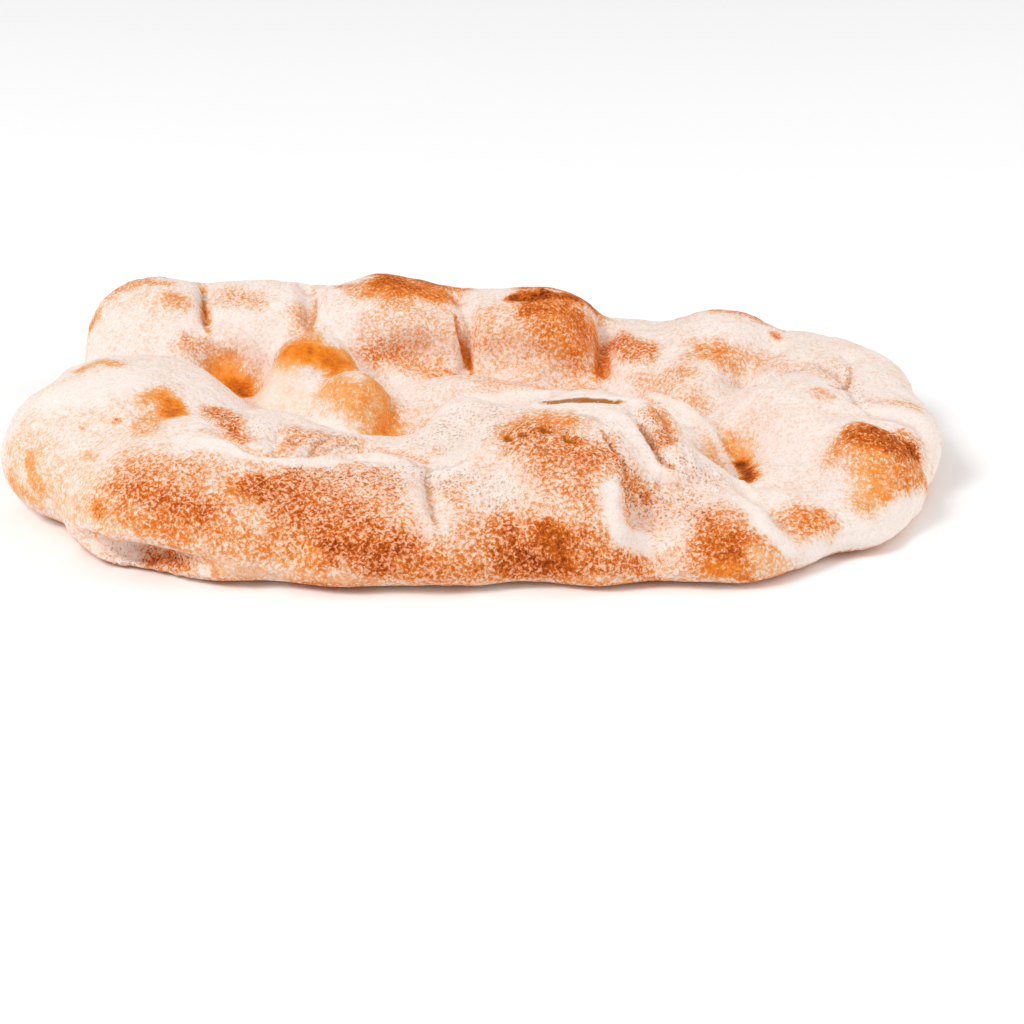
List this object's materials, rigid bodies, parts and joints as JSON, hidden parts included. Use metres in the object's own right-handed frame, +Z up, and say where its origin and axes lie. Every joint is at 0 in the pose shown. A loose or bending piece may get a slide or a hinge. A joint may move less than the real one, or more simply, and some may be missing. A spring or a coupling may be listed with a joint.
{
  "type": "pinsa base",
  "caption": "Oval hand-stretched flatbread base with a thick puffed rim, a pressed middle and a dusting of flour on its browned crust.",
  "frame": {"origin": "centre of the loaf's box in plan, on the flat surface it rests on", "axes": "+X along the loaf's length, +Y from the side the picture shows in front to its back, +Z up"},
  "size_m": [0.294, 0.19, 0.041],
  "materials": {
    "crust": "matte"
  },
  "bodies": {
    "root": {"pinsa_base": "crust"}
  },
  "joints": []
}
